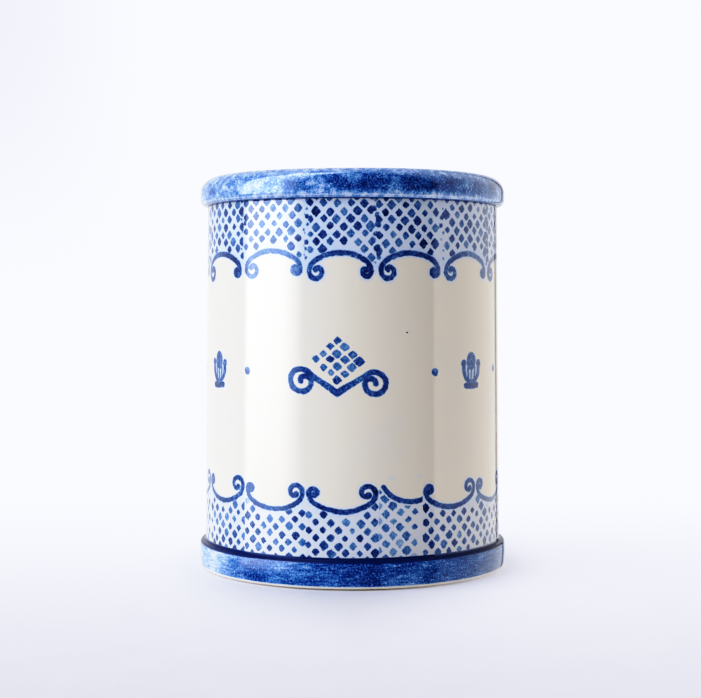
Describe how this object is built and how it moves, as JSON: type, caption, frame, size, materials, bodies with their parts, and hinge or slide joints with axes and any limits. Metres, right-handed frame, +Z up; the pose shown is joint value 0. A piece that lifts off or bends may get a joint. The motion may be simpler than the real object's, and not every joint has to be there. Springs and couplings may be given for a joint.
{
  "type": "umbrella stand",
  "caption": "Round hand-built ceramic umbrella stand, open at the top, with a rolled rim, a banded foot and painted blue-on-white decoration.",
  "frame": {"origin": "centre of the footprint, on the surface the stand rests on", "axes": "+Z up along the vessel's own axis of turning; X and Y are level, and the stand is the same all round"},
  "size_m": [0.3122, 0.3122, 0.392],
  "materials": {
    "white_glaze": "gloss",
    "rim_cobalt_glaze": "gloss",
    "plinth_cobalt_glaze": "gloss",
    "bare_clay": "matte",
    "felt": "matte"
  },
  "bodies": {
    "root": {"wall": "white_glaze", "rim_coil": "rim_cobalt_glaze", "plinth_band": "plinth_cobalt_glaze", "floor_slab": "white_glaze", "corner_coil": "white_glaze", "foot_ring": "bare_clay", "felt_pad_1": "felt", "felt_pad_2": "felt", "felt_pad_3": "felt", "felt_pad_4": "felt"}
  },
  "joints": []
}
